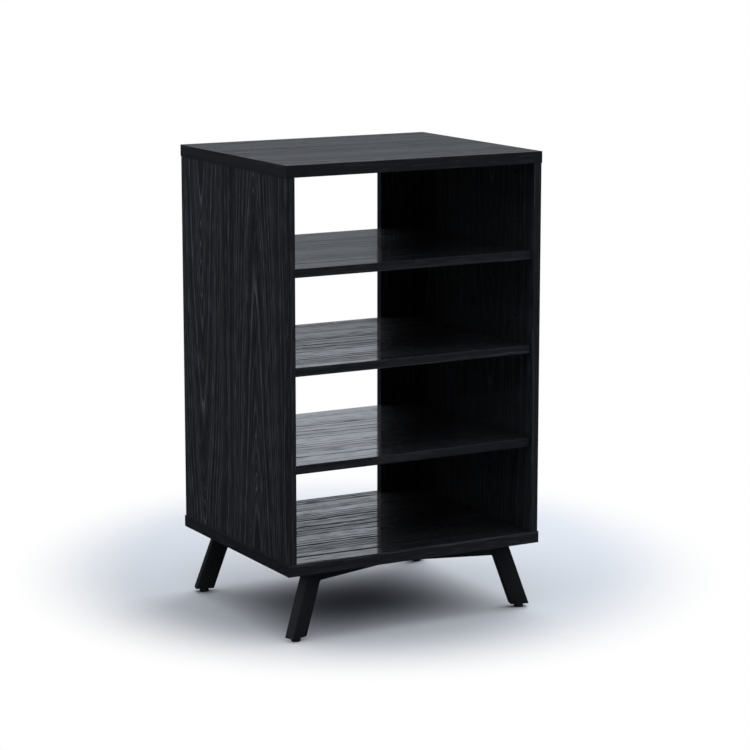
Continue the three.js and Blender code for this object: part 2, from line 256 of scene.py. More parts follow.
def make_ring_lines():
    """Growth rings cut by a board. The grain runs along Z, X goes across the face and Y into the board."""
    tree, given, result = new_group("ring_lines", RING_SIZES, ("Lines", "Fine Lines"))
    rings = ring_number(tree, given)
    year = math_node(tree, "FLOOR", rings)
    strength = add_node(tree, "ShaderNodeTexWhiteNoise", {"noise_dimensions": "1D"}, W=year).outputs["Value"]
    strength = remap(tree, strength, 0.0, 1.0, FAINTEST_LINE, 1.0)
    lines = math_node(tree, "MULTIPLY", stroke(tree, rings, LINE_RISE, LINE_FALL), strength)
    fine_rings = math_node(tree, "MULTIPLY", rings, FINE_LINES_PER_RING)
    zones = remap(tree, ring_noise(tree, rings, ZONES_SCALE, detail=0.0), *ZONES_EDGE, 0.0, 1.0)
    fine = math_node(tree, "MULTIPLY", stroke(tree, fine_rings, FINE_RISE, FINE_FALL), zones)
    tree.links.new(lines, result["Lines"])
    tree.links.new(fine, result["Fine Lines"])
    return tree


ring_lines = make_ring_lines()
print("Ring lines group has", len(ring_lines.nodes), "nodes")

# %% [markdown]
# Pores
#
# A ring line is not a stroke of paint. It is a row of open pores, short dashes along the grain, with a few
# stray ones between the rings. One stretched noise, cut at two heights, gives both.

# %% Pore dashes group
PORE_SIZES = {"Pore Width": 0.002}
DASH_STRETCH = (1.0, 1.0, 0.035)
MANY_DASHES = (0.44, 0.60)
FEW_DASHES = (0.58, 0.72)


def make_pore_dashes():
    """Dashes along Z: many that break up a line, and few that stand alone."""
    tree, given, result = new_group("pore_dashes", PORE_SIZES, ("Many", "Few"))
    stretched = vector_node(tree, "MULTIPLY", given["Vector"], DASH_STRETCH)
    scale = math_node(tree, "DIVIDE", 1.0, given["Pore Width"])
    streaks = noise(tree, stretched, scale, detail=1.0, roughness=0.4)
    tree.links.new(remap(tree, streaks, *MANY_DASHES, 0.0, 1.0), result["Many"])
    tree.links.new(remap(tree, streaks, *FEW_DASHES, 0.0, 1.0), result["Few"])
    return tree


pore_dashes = make_pore_dashes()
print("Pores lie about", round(PORE_SIZES["Pore Width"] / MM), "mm apart")

# %% [markdown]
# Grain
#
# One group puts the lines and the dashes together, so that a material needs a single node for its grain. Its
# second output is a slow change of shade, which keeps a wide board from looking printed.

# %% Oak grain group
UNBROKEN_SHARE = 0.3
FINE_LINE_SHARE = 0.7
STRAY_SHARE = 0.4
SHADE_STRETCH = (1.0, 1.0, 0.15)
SHADE_SCALE = 14.0


def make_oak_grain():
    """The whole grain: how much of a pore a point is, and a slow change of shade along the board."""
    tree, given, result = new_group("oak_grain", {**RING_SIZES, **PORE_SIZES}, ("Pores", "Shade"))
    rings = add_node(tree, "ShaderNodeGroup", {"node_tree": ring_lines})
    dashes = add_node(tree, "ShaderNodeGroup", {"node_tree": pore_dashes})
    for group, sizes in ((rings, RING_SIZES), (dashes, PORE_SIZES)):
        for label in ("Vector", *sizes):
            tree.links.new(given[label], group.inputs[label])
    broken = remap(tree, dashes.outputs["Many"], 0.0, 1.0, UNBROKEN_SHARE, 1.0)
    fine = math_node(tree, "MULTIPLY", rings.outputs["Fine Lines"], FINE_LINE_SHARE)
    lined = math_node(tree, "MULTIPLY", math_node(tree, "MAXIMUM", rings.outputs["Lines"], fine), broken)
    stray = math_node(tree, "MULTIPLY", dashes.outputs["Few"], STRAY_SHARE)
    tree.links.new(math_node(tree, "MAXIMUM", lined, stray), result["Pores"])
    wide = vector_node(tree, "MULTIPLY", given["Vector"], SHADE_STRETCH)
    tree.links.new(noise(tree, wide, SHADE_SCALE), result["Shade"])
    return tree


oak_grain = make_oak_grain()
print("Oak grain group has", len(oak_grain.nodes), "nodes")

# %% [markdown]
# Black laminate
#
# On the real boards the smooth film between the pores shines, and the pores are matt, open and a little
# greyer. So one mask drives the colour, the depth and the clear film together.
# The film is the shader's coat, whose weight may change over a surface: where a pore opens it, the mirror
# image of the room breaks up into dark lines. The grain is turned to lie along each board.

# %% Black laminate material
BOARD_BLACK = (0.0088, 0.0098, 0.0119, 1.0)
BOARD_SHADE = (0.0116, 0.0129, 0.0157, 1.0)
BOARD_PORE = (0.085, 0.092, 0.107, 1.0)
BOARD_ROUGHNESS = 0.5
PORE_ROUGHNESS_MORE = 0.25
BOARD_SPECULAR = 0.1
FILM_ROUGHNESS = 0.09
PORE_DEPTH = 0.0003
SHADE_RANGE = (0.35, 0.65)
GRAIN_TURNS = {
    "up on a side": (0.0, 0.0, math.radians(90)),
    "up on a front": (0.0, 0.0, 0.0),
    "along X on a level face": (0.0, math.radians(-90), math.radians(-90)),
    "along X on a front": (0.0, math.radians(-90), 0.0),
    "along Y on a side": (math.radians(90), 0.0, math.radians(90)),
}


def laminate(name, turn, place, relief=0.5, film=1.0, film_loss=0.5, greyness=1.0, **grain_sizes):
    """Black oak laminate with the grain turned to lie along a board, from one place in the log.

    Relief is the strength of the pores' bump, film the weight of the clear film between them, film loss how
    soon a pore opens it, and greyness how much paler than the board a pore is. Greyness is set board by
    board,
    so it also paints light and shade: the uprights' pale pores are partly painted light, and the level
    boards' dark ones are partly painted shade.
    """
    material, tree, shader = new_material(name)
    where = tree.nodes.new("ShaderNodeTexCoord").outputs["Object"]
    place_and_turn = {"Location": place, "Rotation": GRAIN_TURNS[turn]}
    turned = add_node(tree, "ShaderNodeMapping", {"vector_type": "POINT"}, Vector=where, **place_and_turn)
    grain = add_node(tree, "ShaderNodeGroup", {"node_tree": oak_grain}, Vector=turned.outputs[0])
    for label, size in grain_sizes.items():
        grain.inputs[label.replace("_", " ").title()].default_value = size
    pores = grain.outputs["Pores"]
    shade = remap(tree, grain.outputs["Shade"], *SHADE_RANGE, 0.0, 1.0)
    black = mix_colours(tree, shade, BOARD_BLACK, BOARD_SHADE)
    # How pale a pore is, set board by board, is partly its own grey and partly painted light and shade.
    colour = mix_colours(tree, math_node(tree, "MULTIPLY", pores, greyness), black, BOARD_PORE)
    roughness = math_node(tree, "MULTIPLY_ADD", pores, PORE_ROUGHNESS_MORE, BOARD_ROUGHNESS)
    tree.links.new(colour, shader.inputs["Base Color"])
    tree.links.new(roughness, shader.inputs["Roughness"])
    tree.links.new(remap(tree, pores, 0.0, 1.0 / film_loss, film, 0.0), shader.inputs["Coat Weight"])
    shader.inputs["Coat Roughness"].default_value = FILM_ROUGHNESS
    shader.inputs["Specular IOR Level"].default_value = BOARD_SPECULAR
    height = math_node(tree, "MULTIPLY", pores, -1.0)
    bump = add_node(tree, "ShaderNodeBump", Strength=relief, Distance=PORE_DEPTH, Height=height)
    tree.links.new(bump.outputs["Normal"], shader.inputs["Normal"])
    return material


print("Laminate colours are", BOARD_BLACK[:3], "to", BOARD_PORE[:3])

# %% [markdown]
# Powder coat, plastic and zinc
#
# The base is welded first and then coated with black powder, which flows into a fine orange peel. The glides
# are moulded, with a dull, slightly uneven skin. The screws are zinc plated. None of these surfaces is
# perfectly smooth, so one group gives them all a fine height and a slow cloud.

# %% Fine skin group
CLOUD_SCALE = 18.0
CLOUD_OF_SHADES = (0.35, 0.65)
CLOUD_OF_ROUGHNESS = (0.3, 0.7)
SKIN_BUMP = 0.5


def make_fine_skin():
    """A fine uneven skin: its height, and a slow cloud for small changes of shade."""
    tree, given, result = new_group("fine_skin", {"Grain Size": 0.001}, ("Height", "Cloud"))
    fine_scale = math_node(tree, "DIVIDE", 1.0, given["Grain Size"])
    tree.links.new(noise(tree, given["Vector"], fine_scale), result["Height"])
    tree.links.new(noise(tree, given["Vector"], CLOUD_SCALE, detail=3.0), result["Cloud"])
    return tree


fine_skin = make_fine_skin()
print("Fine skin group has", len(fine_skin.nodes), "nodes")

# %% [markdown]
# Four finishes
#
# Each finish is the same skin with its own colours, gloss and size of grain. The screws and pins are bright
# zinc. The cams are blackened zinc, set darker than the black boards, which is painted shade: the recess
# where a cam sits in the side of the rack is dark.

# %% Steel, plastic and zinc materials
def skin_material(name, dark, light, grain_size, roughness, depth, metallic=0.0, specular=0.5):
    """A finish with two close shades, a range of roughness and a fine bump."""
    material, tree, shader = new_material(name)
    where = tree.nodes.new("ShaderNodeTexCoord").outputs["Object"]
    skin = add_node(tree, "ShaderNodeGroup", {"node_tree": fine_skin}, Vector=where, Grain_Size=grain_size)
    shade = remap(tree, skin.outputs["Cloud"], *CLOUD_OF_SHADES, 0.0, 1.0)
    tree.links.new(mix_colours(tree, shade, dark, light), shader.inputs["Base Color"])
    uneven = remap(tree, skin.outputs["Cloud"], *CLOUD_OF_ROUGHNESS, *roughness)
    tree.links.new(uneven, shader.inputs["Roughness"])
    height = skin.outputs["Height"]
    bump = add_node(tree, "ShaderNodeBump", Strength=SKIN_BUMP, Distance=depth, Height=height)
    tree.links.new(bump.outputs["Normal"], shader.inputs["Normal"])
    shader.inputs["Metallic"].default_value = metallic
    shader.inputs["Specular IOR Level"].default_value = specular
    return material


powder_coat = skin_material(
    "powder_coat", dark=(0.0092, 0.0102, 0.0119, 1), light=(0.0112, 0.0123, 0.0141, 1),
    grain_size=0.0012, roughness=(0.36, 0.46), depth=0.00006, specular=0.22,
)
moulded_plastic = skin_material(
    "moulded_plastic", dark=(0.006, 0.006, 0.0065, 1), light=(0.009, 0.009, 0.0095, 1),
    grain_size=0.0006, roughness=(0.5, 0.62), depth=0.00003,
)
zinc_plate = skin_material(
    "zinc_plate", dark=(0.42, 0.43, 0.44, 1), light=(0.56, 0.56, 0.55, 1),
    grain_size=0.0005, roughness=(0.28, 0.42), depth=0.00002, metallic=1.0,
)
# Blackened zinc, darker than the boards: painted shade for the recess where a cam sits in the side.
black_zinc = skin_material(
    "black_zinc", dark=(0.0022, 0.0022, 0.0024, 1), light=(0.0036, 0.0036, 0.0038, 1),
    grain_size=0.0005, roughness=(0.4, 0.55), depth=0.00003, specular=0.2,
)
print("Four finishes for the metal and plastic pieces")

# %% [markdown]
# Pieces from the frame
#
# A CAD solid has knife edges. A real board is edge-banded and eased, and a real tube is rolled with round
# corners. Each new piece starts from a copy of its CAD solid, merged into whole faces, so that it keeps
# every hole, and then its edges are rounded by a bevel.

# %% Piece helpers
SAME_PLACE = 0.01 * MM
FLAT_ANGLE = math.radians(0.3)
SHARP_ANGLE = math.radians(45)
SMOOTH_ANGLE = math.radians(32)


def merged_copy(node):
    """A bmesh of a CAD node with its loose triangles merged into whole flat faces."""
    bm = bmesh.new()
    bm.from_mesh(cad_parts[node].data)
    bmesh.ops.remove_doubles(bm, verts=bm.verts, dist=SAME_PLACE)
    bmesh.ops.dissolve_limit(bm, angle_limit=FLAT_ANGLE, verts=bm.verts, edges=bm.edges, delimit={"NORMAL"})
    return bm


def round_edges(bm, edges, radius, segments=3):
    """Bevels the chosen edges to a round of that radius."""
    bmesh.ops.bevel(
        bm, geom=edges, offset=radius, offset_type="OFFSET", segments=segments, profile=0.5,
        affect="EDGES", material=-1, clamp_overlap=True,
    )


def new_object(bm, name, materials):
    """An object at the origin that takes over a bmesh."""
    mesh = bpy.data.meshes.new(name)
    bm.to_mesh(mesh)
    bm.free()
    for material in materials:
        mesh.materials.append(material)
    made = bpy.data.objects.new(name, mesh)
    scene.collection.objects.link(made)
    return made


def finish_piece(bm, name, node, body, materials, smooth=False):
    """Makes a piece and sets it on its body, in place of its CAD node if it has one."""
    piece = new_object(bm, name, materials)
    if smooth:
        piece.data.shade_smooth()
        piece.data.set_sharp_from_angle(angle=SMOOTH_ANGLE)
    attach(piece, body)
    if node is not None:
        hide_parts(node)


print("Piece helpers are ready")

# %% [markdown]
# Boards
#
# Nine boards make the cabinet. Their outer edges are eased by a thin band with a round of under a
# millimetre, which catches a fine line of light. The band's grain runs along it, so a board's two end
# faces take a material of their own.

# %% Board helpers
BAND_RADIUS = 0.8 * MM
TOUCHING = 0.02 * MM
# Half the width and half the depth of the box between the top and bottom panels.
BOX_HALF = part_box("right_side_panel")[1].xy


def outline_edges(bm):
    """The twelve outer edges of a board: those that lie on two of its box's faces."""
    low = Vector([min(vert.co[axis] for vert in bm.verts) for axis in range(3)])
    high = Vector([max(vert.co[axis] for vert in bm.verts) for axis in range(3)])
    chosen = []
    for edge in bm.edges:
        touched = 0
        for axis in range(3):
            for limit in (low[axis], high[axis]):
                touched += all(abs(vert.co[axis] - limit) < TOUCHING for vert in edge.verts)
        if touched >= 2:
            chosen.append(edge)
    return chosen


def split_rim(bm):
    """Cuts the bottom panel's faces along the outline of the box that stands on it."""
    for sign in (-1, 1):
        for axis in (0, 1):
            normal = Vector([float(axis == 0), float(axis == 1), 0.0])
            whole = bm.verts[:] + bm.edges[:] + bm.faces[:]
            place = normal * (sign * BOX_HALF[axis])
            bmesh.ops.bisect_plane(bm, geom=whole, plane_co=place, plane_no=normal)


def on_rim(face):
    """Whether a face lies outside the outline of the box."""
    middle = face.calc_center_median()
    return abs(middle.x) > BOX_HALF[0] or abs(middle.y) > BOX_HALF[1]


print("The box is", [round(2 * half / MM) for half in BOX_HALF], "mm wide and deep")

# %% [markdown]
# Edge bands
#
# A band is a thin strip of the same film as the faces, and its grain always runs along it. So there is one
# band for each way that an edge can run, and the boards share them.

# %% Edge bands
BAND_GRAIN = {
    "relief": 0.3, "film": 0.3, "film_loss": 0.3, "greyness": 0.5, "ring_spacing": 0.012,
    "heart_spacing": 0.3, "heart_depth": 0.08, "taper": 0.0, "wander": 0.012, "pore_width": 0.0016,
}
band_up_front = laminate("band_up_front", "up on a front", (0.07, 0.03, 0.1), **BAND_GRAIN)
band_up_side = laminate("band_up_side", "up on a side", (0.07, 0.03, 0.1), **BAND_GRAIN)
band_along_x = laminate("band_along_x", "along X on a front", (0.07, 0.03, 0.7), **BAND_GRAIN)
band_along_y = laminate("band_along_y", "along Y on a side", (0.07, 0.02, 0.4), **BAND_GRAIN)
# The axis that a board's faces look along, and the axis that its edge looks along.
BANDS = {
    (0, 1): band_up_front, (0, 2): band_along_y,
    (1, 0): band_up_side, (1, 2): band_along_x,
    (2, 0): band_along_y, (2, 1): band_along_x,
}
print("Bands for", len(BANDS), "kinds of edge")

# %% [markdown]
# Nine boards
#
# Every board has its own place in the log, so no two show the same lines. The level boards keep their whole
# film and mirror the room, each as far as its pores let it, and the upright ones hardly mirror anything.

# %% Boards
# Whether the board is level, and the axis that its faces look along.
FACE_TURNS = {
    (False, 0): "up on a side",
    (False, 1): "up on a front",
    (True, 2): "along X on a level face",
}
LEVEL_GRAIN = {
    "ring_spacing": 0.030, "heart_spacing": 1.5, "heart_depth": 0.12, "taper": 0.02, "wander": 0.02,
}
UPRIGHT_GRAIN = {
    "film": 0.02, "ring_spacing": 0.028, "heart_spacing": 0.25, "heart_depth": 0.015, "taper": 0.09,
    "wander": 0.03,
}
# The body that a board moves with, its place in the log, and its own film and pores. Their low greyness
# keeps these pores nearly as dark as the board, partly as painted shade, while the uprights' pores show
# pale.
LEVEL_BOARDS = {
    "top_panel": ("carcass", (0.40, -0.9835, 0.3), {"film_loss": 3.0, "relief": 0.3, "greyness": 0.05}),
    "bottom_panel": ("carcass", (0.38, -0.1695, 0.6), {"film_loss": 12.0, "relief": 0.6, "greyness": 0.1}),
    "lower_shelf": ("lower_shelf", (0.36, -0.373, 0.1), {"film_loss": 2.4, "greyness": 0.1}),
    "middle_shelf": ("middle_shelf", (0.42, -0.574, 0.8), {"film_loss": 5.0, "greyness": 0.1}),
    "upper_shelf": ("upper_shelf", (0.34, -0.775, 1.4), {"film_loss": 1.6, "greyness": 0.1}),
}
# The axis that a board's faces look along, and its place in the log.
UPRIGHTS = {
    "left_side_panel": (0, (0.40, 0.2985, -0.564)),
    "right_side_panel": (0, (0.17, -0.2805, -0.60)),
    "left_back_stile": (1, (0.3, -0.2295, -0.5)),
    "right_back_stile": (1, (-0.13, -0.2295, -0.7)),
}


def board(node, body, face_axis, place, **grain):
    """A laminated board with eased edges: its two faces, and the bands that run round them.

    The bottom panel's ledge, outside the box that stands on it, takes the grain of a band.
    """
    bm = merged_copy(node)
    round_edges(bm, outline_edges(bm), BAND_RADIUS)
    bm.normal_update()
    others = [axis for axis in range(3) if axis != face_axis]
    if node == "bottom_panel":
        split_rim(bm)
    for face in bm.faces:
        normal = [abs(part) for part in face.normal]
        facing = normal.index(max(normal))
        if facing != face_axis:
            face.material_index = 1 + others.index(facing)
        elif node == "bottom_panel" and on_rim(face):
            face.material_index = 1
    turn = FACE_TURNS[node in LEVEL_BOARDS, face_axis]
    materials = [laminate(f"laminate_{node}", turn, place, **grain)]
    materials += [BANDS[face_axis, axis] for axis in others]
    finish_piece(bm, f"{node}_board", node, body, materials)


for node, (face_axis, place) in UPRIGHTS.items():
    board(node, "carcass", face_axis, place, **UPRIGHT_GRAIN)
for node, (body, place, grain) in LEVEL_BOARDS.items():
    board(node, body, 2, place, **{**LEVEL_GRAIN, **grain})
print("Boards:", len(UPRIGHTS) + len(LEVEL_BOARDS))

# %% [markdown]
# Legs and rails
#
# The base is rectangular tube. A rolled tube has round outer corners of about twice its wall, so the long
# edges are rounded and the cut ends stay square.
# A tube could be drawn anew, as a rounded outline that is pushed along a line. But the slanted ends and the
# screw holes are in the CAD solids already, so copies of those are rounded instead.

# %% Legs and rails
TUBE_OUTER_RADIUS = 2.5 * MM
TUBE_INNER_RADIUS = 1.0 * MM
LEAST_LONG_EDGE = 20 * MM
PARALLEL_COSINE = 0.999
SAME_HEIGHT = 0.1 * MM
CORNERS = ("front_left", "front_right", "rear_left", "rear_right")


def long_edges(bm, along, sign):
    """The long sharp edges that run along a direction: outer ones with a sign of 1, inner ones with -1."""
    chosen = []
    for edge in bm.edges:
        line = edge.verts[1].co - edge.verts[0].co
        if line.length < LEAST_LONG_EDGE or abs(line.normalized().dot(along)) < PARALLEL_COSINE:
            continue
        if edge.is_manifold and sign * edge.calc_face_angle_signed() > SHARP_ANGLE:
            chosen.append(edge)
    return chosen


def tube(node, along):
    """A rolled tube from its CAD solid, with its long corners rounded."""
    bm = merged_copy(node)
    round_edges(bm, long_edges(bm, along, 1), TUBE_OUTER_RADIUS, segments=4)
    round_edges(bm, long_edges(bm, along, -1), TUBE_INNER_RADIUS, segments=2)
    finish_piece(bm, f"{node}_tube", node, "carcass", [powder_coat], smooth=True)


def node_points(node):
    """The corners of a CAD node's triangles."""
    return [vert.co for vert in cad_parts[node].data.vertices]


def leg_direction(corner):
    """The direction of a leg's long edges, from the middle of its top to the middle of its foot."""
    points = node_points(f"{corner}_leg")
    top = max(point.z for point in points)
    foot = min(point.z for point in points)
    upper = [point for point in points if point.z > top - SAME_HEIGHT]
    lower = [point for point in points if point.z < foot + SAME_HEIGHT]
    middle_up = sum(upper, Vector()) / len(upper)
    middle_down = sum(lower, Vector()) / len(lower)
    return (middle_down - middle_up).normalized()


def lean(corner):
    """The level direction in which a leg leans out, and the one across it."""
    leaning = leg_direction(corner)
    outward = Vector((leaning.x, leaning.y, 0)).normalized()
    return outward, Vector((-outward.y, outward.x, 0))


for corner in CORNERS:
    tube(f"{corner}_leg", leg_direction(corner))
    tube(f"{corner}_rail", lean(corner)[0])
print("Tubes:", 2 * len(CORNERS))

# %% [markdown]
# Weld beads
#
# Each rail is welded to its leg. The seams at the sides are ground flush, and one bead stays in the corner
# under the rail. A bead is laid in short steps, so it looks like a row of coins that overlap.
# One round rod in the corner would look cast. So each step is a small ball that overlaps the next.

# %% Weld beads
BEAD_RADIUS = 2.2 * MM
BEAD_STEP = 1.5 * MM
BEAD_SINK = 0.4 * MM


def reach(node, direction, height=None):
    """How far a CAD node reaches along a direction, as (least, greatest), at one height or at all."""
    points = node_points(node)
    if height is not None:
        points = [point for point in points if abs(point.z - height) < SAME_HEIGHT]
    distances = [point.dot(direction) for point in points]
    return min(distances), max(distances)


def inner_face(corner, height):
    """How far out the inner face of a leg is at a height."""
    leg = f"{corner}_leg"
    outward = lean(corner)[0]
    low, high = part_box(leg)
    at_foot = reach(leg, outward, low.z)[0]
    at_top = reach(leg, outward, high.z)[0]
    return at_top + (at_foot - at_top) * (high.z - height) / (high.z - low.z)


def weld_bead(corner):
    """The bead in the corner between a leg's inner face and the underside of its rail."""
    outward, across = lean(corner)
    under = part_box(f"{corner}_rail")[0].z
    first, last = reach(f"{corner}_rail", across)
    bm = bmesh.new()
    for index in range(int((last - first - 2 * BEAD_RADIUS) / BEAD_STEP) + 1):
        along = first + BEAD_RADIUS + index * BEAD_STEP
        place = outward * (inner_face(corner, under) - BEAD_SINK) + across * along
        place.z = under - BEAD_SINK
        step = Matrix.Translation(place)
        bmesh.ops.create_uvsphere(bm, u_segments=10, v_segments=6, radius=BEAD_RADIUS, matrix=step)
    finish_piece(bm, f"{corner}_weld_bead", None, "carcass", [powder_coat], smooth=True)


for corner in CORNERS:
    weld_bead(corner)
print("Weld beads:", len(CORNERS))

# %% [markdown]
# Ground seams
#
# Where two tubes meet, the welder fills the gap and grinds it flush, so that no light shows through.
# A seam could be a bead that is cut flat, but a thin plate looks the same. It fills the gap and reaches a
# little into both tubes, has their rounded corners, and lies a hair below their faces.

# %% Ground seams
SEAM_THICKNESS = 0.9 * MM
SEAM_INSET = 0.05 * MM
# The gap that the CAD model leaves between a leg and its rail.
WELD_GAP = 0.3 * MM


def ground_seam(name, low_place, high_place, across, width):
    """The filled gap between two tubes, from the middle of its lower edge to that of its upper edge."""
    upward = high_place - low_place
    bm = bmesh.new()
    bmesh.ops.create_cube(bm, size=1.0)
    size = (width - 2 * SEAM_INSET, SEAM_THICKNESS, upward.length - 2 * SEAM_INSET)
    bmesh.ops.scale(bm, vec=size, verts=bm.verts)
    short_edges = [edge for edge in bm.edges if edge.calc_length() < 2 * SEAM_THICKNESS]
    round_edges(bm, short_edges, TUBE_OUTER_RADIUS, segments=4)
    upward.normalize()
    turn = Matrix((across, upward.cross(across), upward)).transposed().to_4x4()
    turn.translation = (low_place + high_place) / 2
    bmesh.ops.transform(bm, matrix=turn, verts=bm.verts)
    finish_piece(bm, name, None, "carcass", [powder_coat])


def leg_seam(corner):
    """The seam between a leg's inner face and the end of its rail, which lean alike."""
    outward, across = lean(corner)
    first, last = reach(f"{corner}_rail", across)
    ends = []
    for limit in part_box(f"{corner}_rail"):
        place = outward * (inner_face(corner, limit.z) - WELD_GAP / 2) + across * (first + last) / 2
        place.z = limit.z
        ends.append(place)
    ground_seam(f"{corner}_leg_seam", *ends, across, last - first)


def middle_seam(side):
    """The seam at the mitre where the two arms of a rail meet."""
    points = node_points(f"{side}_left_rail")
    end = max(point.x for point in points)
    met = [point.y for point in points if point.x > end - SAME_PLACE]
    middle = (min(met) + max(met)) / 2
    ends = [Vector((0, middle, limit.z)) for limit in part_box(f"{side}_left_rail")]
    ground_seam(f"{side}_middle_seam", *ends, Vector((0, 1, 0)), max(met) - min(met))
    print("The", side, "rails meet", round(abs(middle) / MM, 1), "mm from the middle of the rack")


for corner in CORNERS:
    leg_seam(corner)
for side in ("front", "rear"):
    middle_seam(side)
print("Ground seams:", len(CORNERS) + 2)

# %% [markdown]
# Turned pieces
#
# Screws, bolts, pins and glides are turned on a lathe or moulded in a round mould. Each is one outline spun
# about its axis. A thread is a small triangle spun and lifted at once, so it climbs like a spring.

# %% Turning helpers
WHOLE_TURN = {"axis": (0, 0, 1), "cent": (0, 0, 0), "angle": math.tau, "use_merge": True}
THREAD_STEPS = 16
THREAD_SINK = 0.2
CREST_SHARE = 0.4
FOOT_SHARE = 0.8


def turned(profile, segments=24):
    """A solid turned about Z from (radius, height) points in millimetres, from axis to axis."""
    bm = bmesh.new()
    points = [bm.verts.new((radius * MM, 0.0, height * MM)) for radius, height in profile]
    lines = [bm.edges.new(pair) for pair in zip(points, points[1:])]
    bmesh.ops.spin(bm, geom=points + lines, steps=segments, **WHOLE_TURN)
    bmesh.ops.remove_doubles(bm, verts=bm.verts, dist=SAME_PLACE)
    bmesh.ops.recalc_face_normals(bm, faces=bm.faces)
    return bm


def add_thread(bm, core, crest, low, high, pitch):
    """A ridge that climbs from one height to another, in millimetres. Its foot is sunk in the core."""
    foot = core - THREAD_SINK
    section = ((foot, low), (crest, low + CREST_SHARE * pitch), (foot, low + FOOT_SHARE * pitch))
    corners = [bm.verts.new((radius * MM, 0.0, height * MM)) for radius, height in section]
    start = bm.faces.new(corners)
    steps = round(THREAD_STEPS * ((high - low) / pitch - FOOT_SHARE))
    bmesh.ops.spin(
        bm, geom=[start, *start.edges, *start.verts], axis=(0, 0, 1), cent=(0, 0, 0),
        dvec=(0, 0, pitch * MM / THREAD_STEPS), steps=steps, angle=math.tau * steps / THREAD_STEPS,
    )
    open_edges = [edge for edge in bm.edges if edge.is_boundary]
    bmesh.ops.holes_fill(bm, edges=open_edges, sides=3)
    bmesh.ops.recalc_face_normals(bm, faces=bm.faces)


def hexagon(bm, radius):
    """Turns a round socket into a hexagon whose flats touch the round one."""
    for vert in bm.verts:
        if abs(vert.co.xy.length - radius * MM) < SAME_PLACE:
            angle = math.atan2(vert.co.y, vert.co.x) % math.radians(60) - math.radians(30)
            vert.co.xy = vert.co.xy / math.cos(angle)


def seat(bm, node):
    """Lifts a turned piece from the origin to its CAD node: the same axis and the same foot."""
    low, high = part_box(node)
    bmesh.ops.translate(bm, verts=bm.verts, vec=((low.x + high.x) / 2, (low.y + high.y) / 2, low.z))


print("A thread has", THREAD_STEPS, "steps in a turn")

# %% [markdown]
# Glides
#
# A glide is moulded in one piece with its stem. The foot rests on a narrow ring, so that it doesn't suck to
# a wet floor, and a groove round it gives the fingers a hold when the rack is levelled.
# Its CAD solid is a plain foot on a plain stem. One outline spun round gives ring, groove and stem at once,
# with enough steps that the foot looks round from close by.

# %% Glides
GLIDE_PROFILE = (
    (0, 0.5), (7.6, 0.5), (8.0, 0.0), (9.0, 0.0), (9.7, 0.3), (10, 1.0), (10, 2.6), (9.6, 2.9), (9.6, 3.5),
    (10, 3.8), (10, 7.2), (9.8, 8.0), (9.2, 8.4), (3.4, 8.4), (3.4, 36.0), (2.9, 36.5), (0, 36.5),
)
GLIDE_THREAD = {"core": 3.4, "crest": 4.0, "low": 9.4, "high": 36.2, "pitch": 1.5}
for corner in CORNERS:
    glide = f"{corner}_glide"
    bm = turned(GLIDE_PROFILE, segments=48)
    add_thread(bm, **GLIDE_THREAD)
    seat(bm, glide)
    finish_piece(bm, f"{glide}_moulding", glide, glide, [moulded_plastic], smooth=True)
print("Glides:", len(CORNERS))

# %% [markdown]
# Screws and bolts
#
# The box screws and the rail screws are driven from below, so their heads have a hexagonal socket. The cam
# bolts have a ball-like head on a neck, which the cam's slot pulls down, and a wood thread for the top
# panel. Each kind is one outline and one thread, so one function makes all sixteen. The socket is spun round
# like the rest, and its points are then moved outwards until it has six flats.

# %% Screws and bolts
BOX_SCREW_PROFILE = (
    (0, 2.6), (2.0, 2.6), (2.0, 0.0), (4.5, 0.0), (5, 0.5), (5, 3.6), (4.6, 4.0), (3.4, 4.0), (3.4, 24.5),
    (3.0, 24.9), (1.9, 24.9), (1.9, 51.0), (0, 54.9),
)
RAIL_SCREW_PROFILE = (
    (0, 2.2), (2.0, 2.2), (2.0, 0.0), (5.4, 0.0), (6, 0.6), (6, 3.5), (3, 3.5), (3, 5.4), (2.3, 5.8),
    (2.3, 17.4), (0, 19.2),
)
CAM_BOLT_PROFILE = (
    (0, 0.0), (2.6, 0.0), (3.3, 0.4), (3.5, 1.2), (3.5, 1.9), (3.1, 2.7), (2, 3.0), (2, 7.0), (2.6, 7.0),
    (3, 7.5), (3, 26.6), (2.6, 27.1), (2.6, 37.5), (2.1, 38.1), (0, 38.1),
)
BOX_SCREW_THREAD = {"core": 1.9, "crest": 2.6, "low": 25.4, "high": 51.0, "pitch": 2.6}
RAIL_SCREW_THREAD = {"core": 2.3, "crest": 3.0, "low": 6.0, "high": 17.6, "pitch": 2.0}
CAM_BOLT_THREAD = {"core": 2.6, "crest": 3.5, "low": 27.4, "high": 37.6, "pitch": 2.4}
SOCKET_RADIUS = 2.0


def screw(node, profile, socket, thread):
    """A turned screw with a thread, and with a hexagonal socket if it has one."""
    bm = turned(profile)
    if socket:
        hexagon(bm, socket)
    add_thread(bm, **thread)
    seat(bm, node)
    finish_piece(bm, f"{node}_turned", node, "carcass", [zinc_plate], smooth=True)


for corner in CORNERS:
    screw(f"{corner}_box_screw", BOX_SCREW_PROFILE, SOCKET_RADIUS, BOX_SCREW_THREAD)
    screw(f"{corner}_cam_bolt", CAM_BOLT_PROFILE, None, CAM_BOLT_THREAD)
    for number in (1, 2):
        screw(f"{corner}_rail_screw_{number}", RAIL_SCREW_PROFILE, SOCKET_RADIUS, RAIL_SCREW_THREAD)
print("Screws and bolts:", 4 * len(CORNERS))

# %% [markdown]
# Shelf pins
#
# A pin is a short steel rod with chamfered ends. The groove round it shows how deep it goes into the side.
# It is turned upright, like the screws, and then laid down with its tail at the blind end of its hole.

# %% Shelf pins
PIN_PROFILE = (
    (0, 0), (2.1, 0), (2.5, 0.4), (2.5, 8.6), (2.3, 8.8), (2.3, 9.2), (2.5, 9.4), (2.5, 21.6), (2.1, 22),
    (0, 22),
)
SHELVES = ("lower_shelf", "middle_shelf", "upper_shelf")


